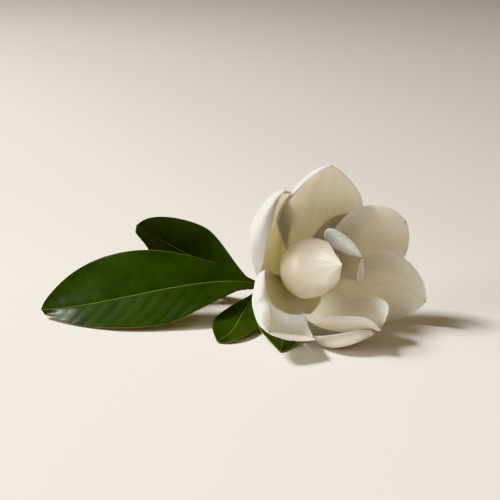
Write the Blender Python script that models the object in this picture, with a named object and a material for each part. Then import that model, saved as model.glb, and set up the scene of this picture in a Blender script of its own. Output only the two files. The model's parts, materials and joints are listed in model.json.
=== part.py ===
"""Magnolia flower: one open bloom, picked with a short twig and four leaves.

The bloom lies on a level surface with its middle turned to the front and up. Nine tepals
stand open round the receptacle, three more are closed over the cone, and the leaves
spread from the twig behind and under the bloom.
"""
from dataclasses import dataclass

import bpy
import numpy as np

# Lengths are in millimetres and angles in degrees, in a working frame whose floor is z = 0.
MM = 0.001
ORIGIN = (-16.63, 11.53, 0.0)
CLEARANCE = 0.3
STEM_CLEARANCE = 0.45

# Receptacle: a short stalk with a cone on top, along one straight axis.
RECEPTACLE_TOP = np.array([38.5, 18.5, 43.5])
RECEPTACLE_AXIS = np.array([0.400, -0.761, 0.511])
RECEPTACLE_LENGTH = 22.0
RECEPTACLE_PROFILE = ((0.0, 4.9), (1.5, 6.4), (14.0, 6.4), (20.0, 5.0), (34.0, 4.6), (42.0, 1.5))
RECEPTACLE_SIDES = 16

# Twig: a curve from under the receptacle to its cut end on the surface behind.
TWIG_START = (29.4, 35.8, 31.9)
TWIG_HANDLES = ((23.0, 48.0, 23.7), (-15.0, 66.0, 14.0))
TWIG_END = (-40.0, 78.0, 4.6)
TWIG_RADII = (4.8, 3.7, 4.4)
TWIG_SCARS = (0.22, 0.45, 0.7)
SCAR_HEIGHT = 0.5
SCAR_LENGTH = 0.015
TWIG_SIDES = 12
TWIG_RINGS = 22

# Closed middle: three tepals wrapped round each other in the shape of an egg with a beak.
BUD_CENTRE = np.array([52.2, 0.0, 56.7])
BUD_AXIS = np.array([0.637, -0.637, 0.432])
BUD_RADIUS = 26.0
BUD_HALF_LENGTH = 27.5
BUD_LAYER = 1.6
LAYER_NECK_SHARE = 0.3
BEAK_LENGTH = 5.0
BEAK_LEAN = np.array([3.5, 0.0, -2.0])
BUD_NECK_RADIUS = 6.6
NECK_END = 1.0 / 3.0
BEAK_START = 0.75

# Mesh density of the blades.
BLADE_ROWS = 12
BLADE_COLUMNS = 6
FINE_STEPS = 8
WRAP_ROWS = 11
WRAP_COLUMNS = 14
STEM_STEPS = np.linspace(0.0, 1.0, 161)
LOW_ROW_SHARE = 0.95
SHARP_ANGLE = 50.0

# Thickness at the base of the midrib, and the share left at the margin.
TEPAL_THICKNESS = 1.5
LEAF_THICKNESS = 2.6
THIN_PART = 0.9
MARGIN_SHARE = 0.75


@dataclass(frozen=True)
class Half:
    """One side of a blade, from its midrib out to its margin."""

    reach: float
    claw: float = 0.25
    peak: float = 0.6
    end: float = 0.5
    swell: float = 1.3
    cup: tuple = (15, 30, 30)
    bend: float = 1.5
    roll: tuple = (0, 0, 0)
    curl: float = 4.0


@dataclass(frozen=True)
class Blade:
    """A tepal or a leaf.

    seat is the distance along the stem that carries it, way has the points of its midrib
    at a third, two thirds and all of its length, and faces are the directions that its
    inner side looks to at the middle and the apex.
    """

    seat: float
    way: tuple
    faces: tuple
    left: Half
    right: Half
    base_face: tuple = tuple(RECEPTACLE_AXIS)
    fold: tuple = (0, 0, 0)


@dataclass(frozen=True)
class Wrap:
    """A closed tepal: the layer it lies in, and the stretch round the egg it covers."""

    layer: int
    middle: float
    spread: tuple


TEPALS = {
    "tepal_top": Blade(
        seat=5.0,
        way=((50, 52.7, 61.8), (60.1, 62.7, 97), (71.6, 42.4, 136.2)),
        faces=((-0.02, -1.12, 0.06), (-0.01, -0.91, -0.03)),
        left=Half(42.2, claw=0.16, peak=0.45, end=0.48, swell=2.42,
                  cup=(19, 43, 51), bend=1.57, roll=(0, 93, 111), curl=4.1),
        right=Half(44.5, claw=0.3, peak=0.59, end=0.54, swell=1.31,
                   cup=(15, 21, 15), bend=1.53),
    ),
    "tepal_upper_right": Blade(
        seat=11.0,
        way=((76.3, 41.4, 54.4), (108.6, 48.3, 71.8), (137.7, 38.5, 86.4)),
        faces=((-0.1, -0.99, 0), (-0.13, -0.71, -0.09)),
        left=Half(32.5, claw=0.15, peak=0.67, end=0.5, swell=1.93, cup=(15, 44, 39), bend=1.42),
        right=Half(37, claw=0.25, peak=0.68, end=0.39, swell=1.3, cup=(10, 15, 20), bend=1.5),
    ),
    "tepal_right": Blade(
        seat=14.0,
        way=((86.5, 30, 33.7), (120.7, 26.3, 30.1), (154.1, 10.2, 22.1)),
        faces=((-0.06, -0.95, 0.29), (-0.5, -0.87, 0.07)),
        left=Half(35.4, claw=0.13, peak=0.6, end=0.53, swell=2.59,
                  cup=(15, 29, 24), bend=1.5, roll=(0, 12, 25), curl=4),
        right=Half(38.1, claw=0.25, peak=0.53, end=0.62, swell=1.3, cup=(15, 51, 30), bend=1.5),
    ),
    "tepal_bottom": Blade(
        seat=16.5,
        way=((70.8, -12.7, 9.5), (91.8, -24.7, 12.4), (111, -30.3, 15.3)),
        faces=((-0.1, 0.14, 1.08), (-0.32, 0.01, 0.28)),
        left=Half(33.8, claw=0.34, peak=0.49, end=0.19, swell=0.6, cup=(22, 90, 67), bend=1.01),
        right=Half(33.1, claw=0.07, peak=0.41, end=0.27, swell=1.53, cup=(28, 79, 91), bend=1),
    ),
    "tepal_under": Blade(
        seat=2.0,
        way=((56.4, -13.3, 0.3), (78.4, -31.5, 0.1), (103.7, -34, 12)),
        faces=((-0.02, 0.1, 1), (-0.1, 0.06, 1.02)),
        left=Half(26.6, claw=0.2, peak=0.67, end=0.46, swell=1.26,
                  cup=(8, 16, 18), bend=1.29, roll=(0, 0, 6), curl=4.2),
        right=Half(29.3, claw=0.06, peak=0.68, end=0.46, swell=2.24, cup=(15, 84, 108), bend=1.33),
    ),
    "tepal_lower_left": Blade(
        seat=7.0,
        way=((24.1, -9.5, 26.8), (18.6, -36.6, 18.6), (16, -62.4, 26.4)),
        faces=((0.41, -0.8, 0.97), (0.37, -0.1, 0.92)),
        left=Half(37.6, claw=0.28, peak=0.8, end=0.81, swell=1.61,
                  cup=(73, 21, 52), bend=1.13, roll=(7, 1, 4), curl=3),
        right=Half(45.4, claw=0.22, peak=0.35, end=0.18, swell=1.75,
                   cup=(32, 70, 109), bend=1.14, roll=(55, 111, 91), curl=3.7),
    ),
    "tepal_left": Blade(
        seat=2.0,
        way=((5.9, 22.9, 62.8), (5, 8.7, 99.9), (26.6, -4.4, 125.5)),
        faces=((0.72, -0.4, 0.05), (0.89, -0.26, -0.4)),
        left=Half(38.4, claw=0.22, peak=0.64, end=1, swell=1.29,
                  cup=(6, 110, 109), bend=1.48, roll=(0, 3, 0), curl=4.5),
        right=Half(58.4, claw=0.4, peak=0.36, end=0.37, swell=0.69,
                   cup=(24, 15, 47), bend=1.61, roll=(0, 0, 7), curl=4),
        base_face=(0.63, -0.46, 0.16),
    ),
    "tepal_inner_right": Blade(
        seat=19.5,
        way=((72.2, 32.1, 47.6), (90.8, 25.3, 58), (96, 5.9, 64.7)),
        faces=((-0.28, -0.9, 0.29), (-0.57, -0.65, -0.09)),
        left=Half(50.5, claw=0.17, peak=0.65, end=0.84, swell=2.49,
                  cup=(15, 32, 85), bend=1.19, roll=(60, 147, 137), curl=3),
        right=Half(27.4, claw=0.15, peak=0.88, end=0.28, swell=2.56,
                   cup=(15, 30, 42), bend=1.61, roll=(0, 19, 110), curl=4.7),
    ),
    "tepal_inner_top": Blade(
        seat=8.0,
        way=((63.0, 48.0, 56.6), (81.1, 54.0, 69.7), (93.5, 51.5, 88.5)),
        faces=((-0.1, -1.0, 0.1), (-0.3, -0.9, 0.0)),
        left=Half(18, claw=0.3, end=0.4, cup=(15, 25, 30)),
        right=Half(8, claw=0.3, end=0.4, cup=(10, 10, 10)),
    ),
}

CLOSED_TEPALS = {
    "closed_tepal_outer": Wrap(layer=0, middle=-35.0, spread=(100, 95, 95)),
    "closed_tepal_middle": Wrap(layer=1, middle=115.0, spread=(80, 80, 80)),
    "closed_tepal_inner": Wrap(layer=2, middle=212.0, spread=(85, 90, 80)),
}

LEAVES = {
    "leaf_left": Blade(
        seat=0.42,
        way=((-53.9, 34.0, 28.1), (-120.8, 27.0, 17.0), (-187.7, 26.0, 7.6)),
        faces=((0.0, -0.62, 0.78), (0.0, -0.5, 0.85)),
        left=Half(38, claw=0.06, peak=0.5, end=0.95, cup=(5, 5, 5), bend=1.0),
        right=Half(44, claw=0.06, peak=0.66, end=0.64, cup=(8, 8, 8), bend=1.0),
        base_face=(0.0, -0.6, 0.8),
        fold=(14, 8, 4),
    ),
    "leaf_back": Blade(
        seat=0.5,
        way=((-39.4, 76.0, 32.4), (-73.0, 80.0, 48.9), (-104.0, 68.0, 72.7)),
        faces=((0.0, -0.85, 0.5), (0.0, -0.7, 0.7)),
        left=Half(29, claw=0.06, peak=0.5, end=0.6, cup=(5, 5, 5), bend=1.0),
        right=Half(30, claw=0.06, peak=0.5, end=0.6, cup=(8, 8, 8), bend=1.0),
        base_face=(0.0, -0.8, 0.6),
        fold=(14, 14, 20),
    ),
    "leaf_low": Blade(
        seat=0.33,
        way=((-5.0, 24.0, 7.0), (-14.0, -4.0, 3.0), (-28.0, -28.0, 2.0)),
        faces=((0.0, 0.0, 1.0), (0.0, 0.0, 1.0)),
        left=Half(21, claw=0.08, peak=0.55, end=0.7, swell=1.6, cup=(5, 5, 5), bend=1.0),
        right=Half(21, claw=0.08, peak=0.55, end=0.7, swell=1.6, cup=(3, 3, 3), bend=1.0),
        base_face=(0.0, 0.2, 1.0),
        fold=(4, 2, 6),
    ),
    "leaf_front": Blade(
        seat=0.18,
        way=((21.0, 13.0, 10.0), (26.0, -15.0, 5.0), (25.0, -47.0, 1.5)),
        faces=((0.0, -0.1, 1.0), (0.0, -0.1, 1.0)),
        left=Half(18, claw=0.08, end=0.8, swell=1.8, cup=(5, 5, 5), bend=1.0),
        right=Half(18, claw=0.08, end=0.8, swell=1.8, cup=(8, 8, 8), bend=1.0),
        base_face=(0.0, 0.2, 1.0),
        fold=(8, 6, 6),
    ),
}

# Colour, roughness and metallic value of each material.
FINISHES = {
    "tepal": ((0.80, 0.74, 0.60), 0.5, 0.0),
    "leaf": ((0.05, 0.12, 0.03), 0.3, 0.0),
    "bark": ((0.16, 0.10, 0.06), 0.8, 0.0),
    "receptacle": ((0.45, 0.46, 0.25), 0.7, 0.0),
}


# Curves and vectors

def unit(v):
    """The vector at length one."""
    v = np.asarray(v, dtype=float)
    return v / np.linalg.norm(v, axis=-1, keepdims=True)


def ease(x):
    """A smooth step from 0 to 1."""
    x = np.clip(x, 0.0, 1.0)
    return x * x * (3.0 - 2.0 * x)


def blend(values, t):
    """Values at the base, middle and apex, eased along the length t."""
    base, middle, apex = values
    low = base + (middle - base) * ease(2.0 * t)
    high = middle + (apex - middle) * ease(2.0 * t - 1.0)
    return np.where(t < 0.5, low, high)


def through(points, t):
    """The cubic curve through four points at 0, 1/3, 2/3 and 1, and its slope."""
    p = np.asarray(points, dtype=float)
    a = (-5.0 * p[0] + 18.0 * p[1] - 9.0 * p[2] + 2.0 * p[3]) / 6.0
    b = (2.0 * p[0] - 9.0 * p[1] + 18.0 * p[2] - 5.0 * p[3]) / 6.0
    t = np.asarray(t, dtype=float)[:, None]
    s = 1.0 - t
    place = s**3 * p[0] + 3.0 * s * s * t * a + 3.0 * s * t * t * b + t**3 * p[3]
    slope = 3.0 * s * s * (a - p[0]) + 6.0 * s * t * (b - a) + 3.0 * t * t * (p[3] - b)
    return place, slope


def bezier(start, handles, end, t):
    """The curve from start to end drawn by two handles, and its slope."""
    p = np.array([start, *handles, end], dtype=float)
    t = np.asarray(t, dtype=float)[:, None]
    s = 1.0 - t
    place = s**3 * p[0] + 3.0 * s * s * t * p[1] + 3.0 * s * t * t * p[2] + t**3 * p[3]
    slope = 3.0 * s * s * (p[1] - p[0]) + 6.0 * s * t * (p[2] - p[1]) + 3.0 * t * t * (p[3] - p[2])
    return place, slope


def round_axis(axis):
    """Two directions square to an axis and to each other."""
    side = unit(np.cross(axis, (0.0, 0.0, 1.0)))
    return side, np.cross(axis, side)


# Blades

def seat_on(centre, axis, radius, toward):
    """The point just off a round stem that lies toward another point."""
    out = np.asarray(toward) - centre
    out = unit(out - np.dot(out, axis) * axis)
    return centre + (radius + CLEARANCE) * out


def clear_of_stem(points, centres, radii):
    """Moves points that are too near a round stem straight out from its middle line."""
    gaps = np.linalg.norm(points[:, None] - centres[None], axis=-1) - radii[None]
    nearest = gaps.argmin(axis=1)
    out = points - centres[nearest]
    distance = np.linalg.norm(out, axis=1)
    wanted = np.maximum(distance, radii[nearest] + STEM_CLEARANCE)
    return centres[nearest] + out * (wanted / distance)[:, None]


def half_width(half, t):
    """The width of a half along its length: a claw that swells, then closes at the apex."""
    rise = half.claw + (1.0 - half.claw) * np.sin(0.5 * np.pi * np.clip(t / half.peak, 0, 1)) ** half.swell
    past = np.clip((t - half.peak) / (1.0 - half.peak), 0.0, 1.0)
    return half.reach * np.where(t < half.peak, rise, (1.0 - past**2) ** half.end)


def half_section(half, fold, t, columns):
    """How far each column of a half lies out from the midrib, and up to the inner side."""
    fine = np.linspace(0.0, 1.0, columns * FINE_STEPS + 1)
    fine = np.sin(0.5 * np.pi * fine)
    cup = np.radians(blend(half.cup, t))[:, None]
    roll = np.radians(blend(half.roll, t))[:, None]
    turn = fold[:, None] + cup * fine**half.bend + roll * fine**half.curl
    step = np.diff(fine)
    start = np.zeros((len(t), 1))
    out = np.cumsum(0.5 * (np.cos(turn[:, 1:]) + np.cos(turn[:, :-1])) * step, axis=1)
    up = np.cumsum(0.5 * (np.sin(turn[:, 1:]) + np.sin(turn[:, :-1])) * step, axis=1)
    width = half_width(half, t)[:, None]
    out = width * np.concatenate([start, out], axis=1)[:, ::FINE_STEPS]
    up = width * np.concatenate([start, up], axis=1)[:, ::FINE_STEPS]
    return out, up


def blade_surface(blade, base, rows, columns):
    """The middle surface of a blade, from left margin to right margin in each row."""
    peak = 0.5 * (blade.left.peak + blade.right.peak)
    low = max(2, round(rows * peak * LOW_ROW_SHARE))
    t = np.concatenate([
        np.linspace(0.0, peak, low, endpoint=False),
        peak + (1.0 - peak) * np.sin(np.linspace(0.0, 0.5 * np.pi, rows - low + 1)),
    ])
    place, slope = through((base, *blade.way), t)
    along = unit(slope)
    looks = (blade.base_face, *blade.faces)
    face = np.stack([blend([look[k] for look in looks], t) for k in range(3)], axis=-1)
    across = unit(np.cross(along, face))
    inward = np.cross(across, along)
    fold = np.radians(blend(blade.fold, t))
    left_out, left_up = half_section(blade.left, fold, t, columns)
    right_out, right_up = half_section(blade.right, fold, t, columns)
    out = np.concatenate([-left_out[:, :0:-1], right_out], axis=1)[:, :, None]
    up = np.concatenate([left_up[:, :0:-1], right_up], axis=1)[:, :, None]
    return place[:, None] + out * across[:, None] + up * inward[:, None]


def wrap_surface(wrap, rows, columns):
    """The middle surface of a closed tepal on its layer of the egg."""
    side, up = round_axis(BUD_AXIS)
    inset = BUD_LAYER * wrap.layer
    radius = BUD_RADIUS - inset
    half_length = BUD_HALF_LENGTH - inset
    first = np.arcsin((BUD_NECK_RADIUS - LAYER_NECK_SHARE * inset) / radius)
    rise = np.linspace(first, np.pi, rows + 1)
    share = (rise - first) / (np.pi - first)
    spread = blend(wrap.spread, share)
    beak = np.clip((rise / np.pi - BEAK_START) / (1.0 - BEAK_START), 0.0, 1.0)
    neck = np.clip(1.0 - rise / (np.pi * NECK_END), 0.0, 1.0)
    neck_lean = RECEPTACLE_TOP - (BUD_CENTRE - BUD_HALF_LENGTH * BUD_AXIS)
    middle = BUD_CENTRE + (BEAK_LENGTH * beak**3 - half_length * np.cos(rise))[:, None] * BUD_AXIS
    middle = middle + (beak**2)[:, None] * BEAK_LEAN + (neck**2)[:, None] * neck_lean
    turn = np.radians(wrap.middle + np.linspace(1.0, -1.0, columns + 1)[None, :] * spread[:, None])
    ring = np.cos(turn)[..., None] * side + np.sin(turn)[..., None] * up
    return middle[:, None] + (radius * np.sin(rise))[:, None, None] * ring


def surface_normals(grid):
    """Unit normals of a surface whose last row is one point, toward its inner side."""
    across = np.gradient(grid, axis=1)
    along = np.gradient(grid, axis=0)
    normals = np.cross(across, along)
    normals[-1] = unit(normals[-2]).mean(axis=0)
    return unit(normals)


def blade_thickness(rows, columns, base_thickness):
    """Thickness over the grid: stout at the base, thin along the margins."""
    t = np.linspace(0.0, 1.0, rows)[:, None]
    q = np.abs(np.linspace(-1.0, 1.0, columns))[None, :]
    core = THIN_PART + (base_thickness - THIN_PART) * (1.0 - t) ** 3
    return core * (1.0 - (1.0 - MARGIN_SHARE) * q**2)


def closed_sheet(grid, base_thickness):
    """Points and triangles of a thick blade, with the same diagonals on both sides."""
    rows = grid.shape[0] - 1
    columns = grid.shape[1]
    half = 0.5 * blade_thickness(rows + 1, columns, base_thickness)[..., None]
    normals = surface_normals(grid)
    inner = grid + half * normals
    outer = grid - half * normals
    inner[..., 2] = np.maximum(inner[..., 2], THIN_PART)
    outer[..., 2] = np.maximum(outer[..., 2], 0.0)
    middle = columns // 2
    points = np.concatenate([
        inner[:-1].reshape(-1, 3), inner[-1, middle][None],
        outer[:-1].reshape(-1, 3), outer[-1, middle][None],
    ])
    inner_apex = rows * columns
    back = inner_apex + 1

    def place(row, column):
        return inner_apex if row == rows else row * columns + column

    faces = []
    for row in range(rows):
        for column in range(columns - 1):
            a = place(row, column)
            b = place(row, column + 1)
            c = place(row + 1, column + 1)
            d = place(row + 1, column)
            cell = [(a, b, c)] if c == d else [(a, b, c), (a, c, d)]
            faces += cell
            faces += [(k + back, j + back, i + back) for i, j, k in cell]
        for column, way in ((0, 1), (columns - 1, -1)):
            a = place(row, column)
            b = place(row + 1, column)
            faces += [(a, b, b + back)[::way], (a, b + back, a + back)[::way]]
    for column in range(columns - 1):
        faces += [(column, column + back, column + 1 + back), (column, column + 1 + back, column + 1)]
    return points, faces


# Stems

def swept_tube(centres, axes, radii, sides):
    """Points and faces of a tube with flat ends along a row of centres."""
    points = []
    for centre, axis, radius in zip(centres, axes, radii):
        side, up = round_axis(axis)
        for k in range(sides):
            turn = 2.0 * np.pi * k / sides
            points.append(centre + radius * (np.cos(turn) * side + np.sin(turn) * up))
    faces = [tuple(range(sides))[::-1]]
    for ring in range(len(radii) - 1):
        for k in range(sides):
            a = ring * sides + k
            b = ring * sides + (k + 1) % sides
            faces += [(a, b, b + sides), (a, b + sides, a + sides)]
    last = (len(radii) - 1) * sides
    faces.append(tuple(range(last, last + sides)))
    return np.array(points), faces


def receptacle_line(distance):
    """Centres along the receptacle, and its radius there."""
    base = RECEPTACLE_TOP - RECEPTACLE_LENGTH * RECEPTACLE_AXIS
    reach, radius = np.transpose(RECEPTACLE_PROFILE)
    return base + np.asarray(distance)[:, None] * RECEPTACLE_AXIS, np.interp(distance, reach, radius)


def receptacle_solid():
    """The receptacle, narrow at its foot, with the cone that the closed tepals cover."""
    distance = [step for step, _ in RECEPTACLE_PROFILE]
    centres, radii = receptacle_line(distance)
    return swept_tube(centres, [RECEPTACLE_AXIS] * len(distance), radii, RECEPTACLE_SIDES)


def twig_line(t):
    """Centres, directions and radii along the twig, with a raised ring at each bud scar."""
    place, slope = bezier(TWIG_START, TWIG_HANDLES, TWIG_END, t)
    radius = blend(TWIG_RADII, t)
    for scar in TWIG_SCARS:
        radius = radius + SCAR_HEIGHT * np.exp(-(((t - scar) / SCAR_LENGTH) ** 2))
    return place, unit(slope), radius


def twig_solid():
    """The twig, with rings of its mesh gathered at the scars."""
    t = np.linspace(0.0, 1.0, TWIG_RINGS)
    t = np.unique(np.concatenate([t, TWIG_SCARS]).round(4))
    return swept_tube(*twig_line(t), TWIG_SIDES)


# Objects

def make_material(name):
    """A plain Principled material for one finish."""
    colour, roughness, metallic = FINISHES[name]
    material = bpy.data.materials.new(name)
    material.use_nodes = True
    shader = material.node_tree.nodes["Principled BSDF"]
    shader.inputs["Base Color"].default_value = (*colour, 1.0)
    shader.inputs["Roughness"].default_value = roughness
    shader.inputs["Metallic"].default_value = metallic
    return material


def add_object(name, points, faces, finish, seat, parent):
    """Adds one sub-part with its origin at its seat, in metres."""
    seat = np.asarray(seat, dtype=float)
    mesh = bpy.data.meshes.new(name)
    mesh.from_pydata(((points - seat) * MM).tolist(), [], faces)
    mesh.materials.append(make_material(finish))
    mesh.shade_smooth()
    mesh.set_sharp_from_angle(angle=np.radians(SHARP_ANGLE))
    item = bpy.data.objects.new(name, mesh)
    item.location = (seat - np.array(ORIGIN)) * MM
    bpy.context.scene.collection.objects.link(item)
    item.parent = parent
    return item


def add_tepals(parent):
    """The nine open tepals, each seated on the receptacle."""
    stem = receptacle_line(STEM_STEPS * RECEPTACLE_PROFILE[-1][0])
    for name, blade in TEPALS.items():
        centres, radii = receptacle_line([blade.seat])
        seat = seat_on(centres[0], unit(RECEPTACLE_AXIS), radii[0], blade.way[0])
        grid = blade_surface(blade, seat, BLADE_ROWS, BLADE_COLUMNS)
        points, faces = closed_sheet(grid, TEPAL_THICKNESS)
        add_object(name, clear_of_stem(points, *stem), faces, "tepal", seat, parent)


def add_closed_tepals(parent):
    """The three tepals that are closed over the cone."""
    stem = receptacle_line(STEM_STEPS * RECEPTACLE_PROFILE[-1][0])
    for name, wrap in CLOSED_TEPALS.items():
        points, faces = closed_sheet(wrap_surface(wrap, WRAP_ROWS, WRAP_COLUMNS), THIN_PART)
        add_object(name, clear_of_stem(points, *stem), faces, "tepal", RECEPTACLE_TOP, parent)


def add_leaves(parent):
    """The four leaves, each seated on the side of the twig."""
    line, _, thickness = twig_line(STEM_STEPS)
    for name, blade in LEAVES.items():
        place, slope, radius = twig_line(np.array([blade.seat]))
        seat = seat_on(place[0], slope[0], radius[0], blade.way[0])
        grid = blade_surface(blade, seat, BLADE_ROWS + 2, BLADE_COLUMNS // 2)
        points, faces = closed_sheet(grid, LEAF_THICKNESS)
        add_object(name, clear_of_stem(points, line, thickness), faces, "leaf", seat, parent)


def main():
    """Clears the scene and builds the flower."""
    for item in list(bpy.data.objects):
        bpy.data.objects.remove(item, do_unlink=True)
    flower = bpy.data.objects.new("magnolia", None)
    bpy.context.scene.collection.objects.link(flower)
    add_object("receptacle", *receptacle_solid(), "receptacle", RECEPTACLE_TOP, flower)
    add_object("twig", *twig_solid(), "bark", TWIG_END, flower)
    add_tepals(flower)
    add_closed_tepals(flower)
    add_leaves(flower)
    bpy.context.view_layer.update()


if __name__ == "__main__":
    main()
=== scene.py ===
"""Magnolia flower: the dressed bloom on a plain pale surface under soft studio light.

Each blade follows the same midrib, outline and cup as its solid in the frame, on a finer
mesh with soft swells, furrows, side veins and thin margins, and with its own finish.
"""
import json
import logging
from collections.abc import Callable
from dataclasses import dataclass, field
from enum import Enum

import bpy
import numpy as np
from mathutils import Euler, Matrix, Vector

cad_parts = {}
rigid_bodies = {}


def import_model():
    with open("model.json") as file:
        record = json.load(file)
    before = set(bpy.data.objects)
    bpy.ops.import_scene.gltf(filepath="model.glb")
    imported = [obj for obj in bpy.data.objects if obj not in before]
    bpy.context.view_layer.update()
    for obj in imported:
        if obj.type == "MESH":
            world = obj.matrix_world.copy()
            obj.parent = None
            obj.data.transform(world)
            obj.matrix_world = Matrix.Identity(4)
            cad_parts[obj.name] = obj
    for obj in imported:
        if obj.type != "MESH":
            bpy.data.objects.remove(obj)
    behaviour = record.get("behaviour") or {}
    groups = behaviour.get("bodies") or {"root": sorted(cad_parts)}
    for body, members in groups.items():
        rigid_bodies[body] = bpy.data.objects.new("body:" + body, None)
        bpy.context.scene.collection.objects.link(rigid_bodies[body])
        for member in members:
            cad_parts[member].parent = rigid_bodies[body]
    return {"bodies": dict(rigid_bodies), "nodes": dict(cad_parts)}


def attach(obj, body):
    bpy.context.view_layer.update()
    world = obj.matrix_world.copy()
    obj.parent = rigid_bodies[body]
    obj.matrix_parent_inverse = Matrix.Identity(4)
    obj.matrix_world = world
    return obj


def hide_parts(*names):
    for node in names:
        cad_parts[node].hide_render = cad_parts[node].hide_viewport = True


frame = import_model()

LOG = logging.getLogger("magnolia")
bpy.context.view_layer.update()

Triple = tuple[float, float, float]
Colour = Triple
Grid = np.ndarray
Faces = list[tuple[int, ...]]
Finishes = list[bpy.types.Material]

# Lengths are in millimetres in a drafting frame whose floor is z = 0.
MM = 0.001
CM_IN_MM = 0.1
ORIGIN = np.array([-16.63, 11.53, 0.0])


class Slot(Enum):
    """The record's material slots."""

    TEPAL = "tepal"
    LEAF = "leaf"
    BARK = "bark"
    RECEPTACLE = "receptacle"


# Curves and vectors


def unit(v: Grid) -> Grid:
    """The vectors at length one."""
    v = np.asarray(v, dtype=float)
    return v / np.maximum(np.linalg.norm(v, axis=-1, keepdims=True), 1e-12)


def ease(x: Grid) -> Grid:
    """A smooth step from 0 to 1."""
    x = np.clip(x, 0.0, 1.0)
    return x * x * (3.0 - 2.0 * x)


def blend(values: Triple, t: Grid) -> Grid:
    """Eases values along the length.

    Args:
        values: The values at the base, middle and apex.
        t: The places along the length.

    Returns:
        The values there.
    """
    base, middle, apex = values
    low = base + (middle - base) * ease(2.0 * t)
    high = middle + (apex - middle) * ease(2.0 * t - 1.0)
    return np.where(t < 0.5, low, high)


def rounded(low: float, count: int) -> Grid:
    """Numbers from low to 1 that lie closer together toward 1 and -1."""
    return np.sin(0.5 * np.pi * np.linspace(low, 1.0, count))


def summed(steps: Grid) -> Grid:
    """Running sums along the last axis, from zero."""
    start = np.zeros((*steps.shape[:-1], 1))
    return np.concatenate([start, np.cumsum(steps, axis=-1)], axis=-1)


def hill(x: Grid, size: float) -> Grid:
    """A soft hill of height one about zero."""
    return np.exp(-((x / size) ** 2))


def bezier(p: Grid, t: Grid) -> tuple[Grid, Grid]:
    """Follows the curve drawn by four control points.

    Args:
        p: The points.
        t: The places along it, 0 to 1.

    Returns:
        The points and slopes there.
    """
    t = np.asarray(t, dtype=float)[:, None]
    s = 1.0 - t
    place = s**3 * p[0] + 3.0 * s * s * t * p[1] + 3.0 * s * t * t * p[2] + t**3 * p[3]
    slope = 3.0 * s * s * (p[1] - p[0]) + 6.0 * s * t * (p[2] - p[1]) + 3.0 * t * t * (p[3] - p[2])
    return place, slope


def through(points: Grid, t: Grid) -> tuple[Grid, Grid]:
    """Follows the cubic curve through four points.

    Args:
        points: The points, at 0, 1/3, 2/3 and 1.
        t: The places along it.

    Returns:
        The points and slopes there.
    """
    p = np.asarray(points, dtype=float)
    a = (-5.0 * p[0] + 18.0 * p[1] - 9.0 * p[2] + 2.0 * p[3]) / 6.0
    b = (2.0 * p[0] - 9.0 * p[1] + 18.0 * p[2] - 5.0 * p[3]) / 6.0
    return bezier(np.array([p[0], a, b, p[3]]), t)


def round_axis(axis: Grid) -> tuple[Grid, Grid]:
    """Two directions square to an axis and to each other."""
    side = unit(np.cross(axis, (0.0, 0.0, 1.0)))
    return side, np.cross(axis, side)


def ring_turns(sides: int) -> Grid:
    """The angles of the points of a ring."""
    return 2.0 * np.pi * np.arange(sides) / sides


def smooth_noise(x: Grid, y: Grid, seed: int, waves: int = 7) -> Grid:
    """A soft uneven field in about -1 to 1, the same each run.

    Args:
        x: One coordinate, about one unit to a swell.
        y: The other coordinate.
        seed: Which field.
        waves: How many slanted waves are laid over each other.

    Returns:
        The field at each point.
    """
    dice = np.random.default_rng(seed)
    total = np.zeros(np.broadcast(x, y).shape)
    for _ in range(waves):
        turn, size, shift = dice.uniform(0.0, 2.0 * np.pi), dice.uniform(0.6, 1.6), dice.uniform(0.0, 9.0)
        total = total + np.sin(2.0 * np.pi * size * (x * np.cos(turn) + y * np.sin(turn)) + shift)
    return total / np.sqrt(waves * 2.0)


def surface_normals(grid: Grid) -> Grid:
    """Works out the directions square to a surface.

    Args:
        grid: The surface, whose last row is one point.

    Returns:
        The unit normals, toward its inner side.
    """
    normals = np.cross(np.gradient(grid, axis=1), np.gradient(grid, axis=0))
    normals[-1] = unit(normals[-2]).mean(axis=0)
    return unit(normals)


def rib_distances(grid: Grid) -> tuple[Grid, Grid]:
    """Measures a surface from its midrib.

    Args:
        grid: The surface.

    Returns:
        Distances from the midrib with their side, and along the midrib, in centimetres.
    """
    middle = grid.shape[1] // 2
    arc = summed(np.linalg.norm(np.diff(grid, axis=1), axis=-1))
    length = summed(np.linalg.norm(np.diff(grid[:, middle], axis=0), axis=-1))[:, None]
    return (arc - arc[:, middle:middle + 1]) * CM_IN_MM, length * CM_IN_MM


# Blades


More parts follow.
